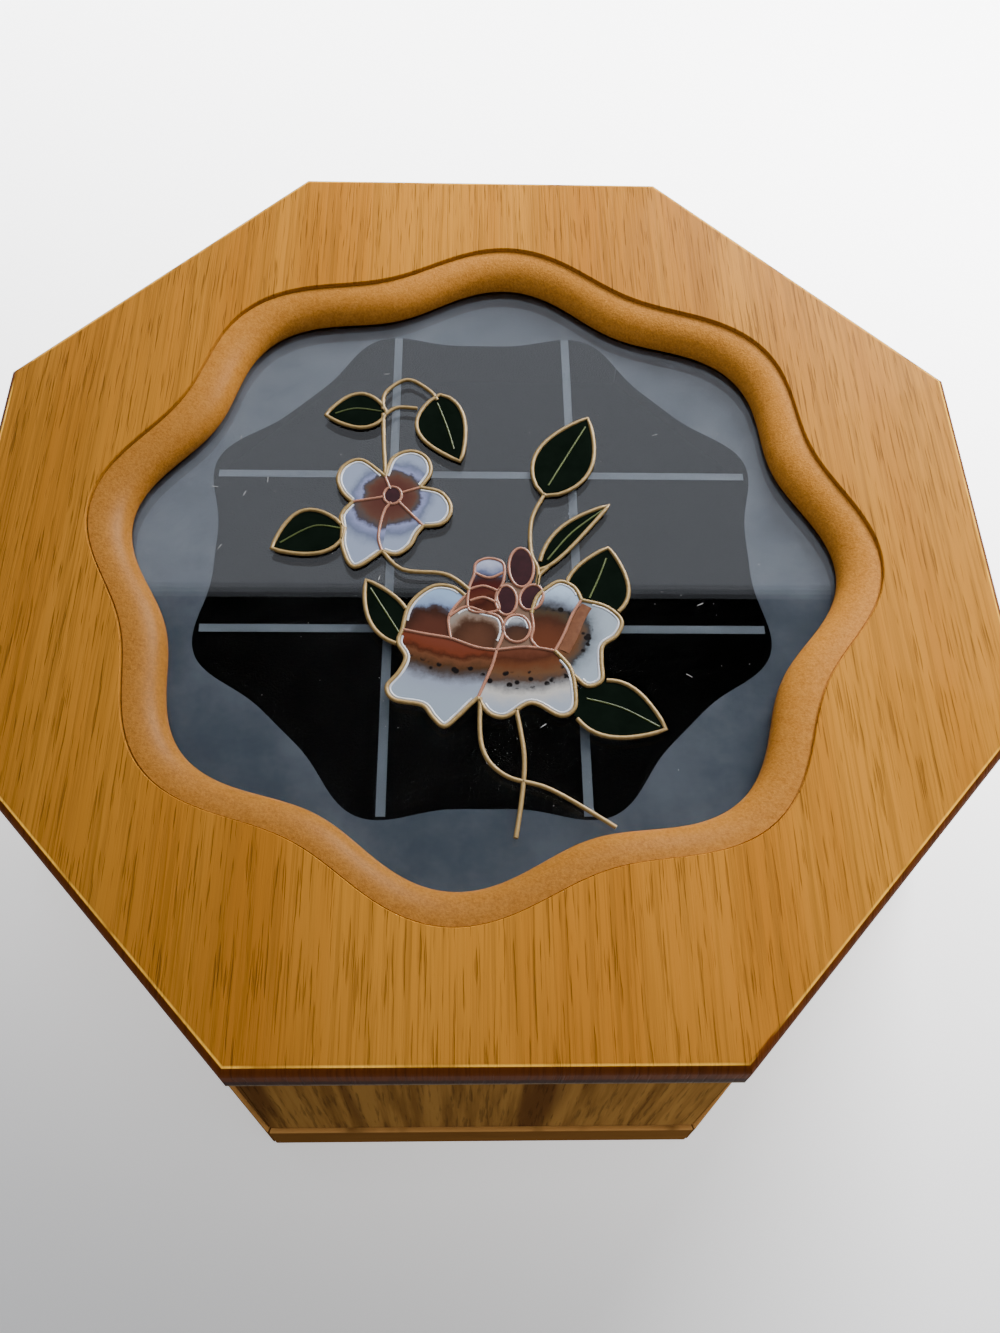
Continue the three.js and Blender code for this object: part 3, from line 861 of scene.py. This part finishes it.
# The dust: specks and a few fine hairs that lie on the glass and the enamel, evenly spread over
# the window.
SPECKS = 90
DUSTY_REACH = 76
scatter = random.Random(7)
specks = []
for number in range(SPECKS):
    angle = scatter.uniform(0, 2 * math.pi)
    reach = DUSTY_REACH * math.sqrt(scatter.random())
    x, y = reach * math.cos(angle), reach * math.sin(angle)
    turn = scatter.uniform(0, math.pi)
    length = scatter.choice((0.15, 0.15, 0.2, 0.3, 1.6))
    specks.append(([(x, y), (x + length * math.cos(turn), y + length * math.sin(turn))], False))
dust = paste_lines("dust", specks, 0.16, 0.1)
lint, wire, shader = surface("dust", tone(196, 198, 202), roughness=0.9)
feed(wire.place().noise(300.0).blend(tone(120, 122, 126), tone(226, 226, 226)), shader, "Base Color")
dust.data.materials.append(lint)


# The frame under the lid: a plain flat frame of stained wood that keeps the glass in its rebate
# and drops inside the walls.
plain_wood, wire, shader = surface("stained_plain_wood", tone(92, 60, 28), roughness=0.6)
at = wire.place()
grain = at.stretched((200, 12, 60)).noise(1.0, 3.0, 0.6)
feed(grain.blend(tone(70, 44, 20), tone(108, 72, 36)), shader, "Base Color")
raise_by(grain, shader, 0.0001)
lid_frame = bpy.data.objects["lid_frame"]
lid_frame.data.materials.clear()
lid_frame.data.materials.append(plain_wood)


# The walls: eight mitred boards of dark-stained oak veneer with upright grain and broad darker
# streaks, their edges slightly eased.
SIDES = ["front", "front_right", "right", "back_right", "back", "back_left", "left", "front_left"]
EASED = 0.0004


def softened_copy(node, name, finish):
    """A copy of a plain board with its edges eased, which takes the board's place."""
    source = bpy.data.objects[node]
    pick_nothing()
    made = bpy.data.objects.new(name, source.data.copy())
    bpy.context.collection.objects.link(made)
    made.select_set(True)
    bpy.context.view_layer.objects.active = made
    bpy.ops.object.mode_set(mode="EDIT")
    bpy.ops.mesh.select_all(action="SELECT")
    bpy.ops.mesh.remove_doubles(threshold=0.000001)
    bpy.ops.mesh.dissolve_limited(angle_limit=math.radians(1))
    bpy.ops.object.mode_set(mode="OBJECT")
    ease = made.modifiers.new("eased_edges", "BEVEL")
    ease.width = EASED
    ease.segments = 2
    ease.limit_method = "ANGLE"
    ease.angle_limit = math.radians(25)
    bpy.ops.object.modifier_apply(modifier=ease.name)
    bpy.ops.object.shade_smooth_by_angle(angle=SMOOTH_ANGLE)
    made.data.materials.clear()
    made.data.materials.append(finish)
    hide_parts(node)
    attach(made, "root")


wall_finish, wire, shader = surface("dark_oak_walls", tone(110, 76, 32), roughness=0.7,
                                    specular_ior_level=0.0)
at = wire.place()
groups = at.stretched((62, 62, 3)).noise(1.0, 2.0, 0.5)
grain = at.stretched((330, 330, 10)).noise(1.0, 4.0, 0.6)
pores = at.stretched((1100, 1100, 50)).noise(1.0, 2.0, 0.6)
tint = grain.between(0.36, 0.66).blend(tone(152, 111, 57), tone(117, 81, 40))
tint = (groups.between(0.53, 0.6) * 0.85).blend(tint, tone(88, 56, 30))
tint = (pores.between(0.54, 0.68) * 0.4).blend(tint, tone(63, 42, 24))
feed(tint, shader, "Base Color")
raise_by(grain * -0.5 - pores.between(0.54, 0.68), shader, 0.00015)
for side in SIDES:
    softened_copy("wall_" + side, "veneered_wall_" + side, wall_finish)


# The plinth: eight mitred boards a little proud of the walls, smooth and plainly stained, with a
# painted highlight along the top edge. The bottom board lies inside them.
PLINTH_HEIGHT = 14
plinth_finish, wire, shader = surface("stained_plinth", tone(104, 72, 20), roughness=0.6,
                                      specular_ior_level=0.0)
at = wire.place()
drift = at.stretched((40, 40, 160)).noise(1.0, 3.0, 0.55)
tint = drift.blend(tone(104, 68, 33), tone(124, 87, 44))
# A pale line along the top edge, broken up by noise, is a painted highlight.
arris = at.axis(2).between((PLINTH_HEIGHT - 1) / MM, (PLINTH_HEIGHT - 0.4) / MM)
painted_highlight = arris * at.noise(90.0, 3.0).between(0.2, 0.5)
feed(painted_highlight.blend(tint, tone(202, 146, 81)), shader, "Base Color")
raise_by(drift, shader, 0.0001)
for side in SIDES:
    softened_copy("plinth_" + side, "stained_plinth_" + side, plinth_finish)

bottom = bpy.data.objects["bottom_board"]
bottom.data.materials.clear()
bottom.data.materials.append(plain_wood)


# The lining: short black velvet glued to the walls and the floor of the box, which is empty.
# Its pile takes up nearly all light.
velvet, wire, shader = surface("black_velvet", tone(6, 6, 7), roughness=0.95, sheen_weight=0.08,
                               sheen_roughness=0.5)
at = wire.place()
pile = at.noise(1800.0, 3.0, 0.7)
feed(pile.blend(tone(2, 2, 3), tone(9, 9, 10)), shader, "Base Color")
raise_by(pile, shader, 0.0003)
for node in ["lining_" + side for side in SIDES] + ["lining_floor"]:
    lining = bpy.data.objects[node]
    lining.data.materials.clear()
    lining.data.materials.append(velvet)
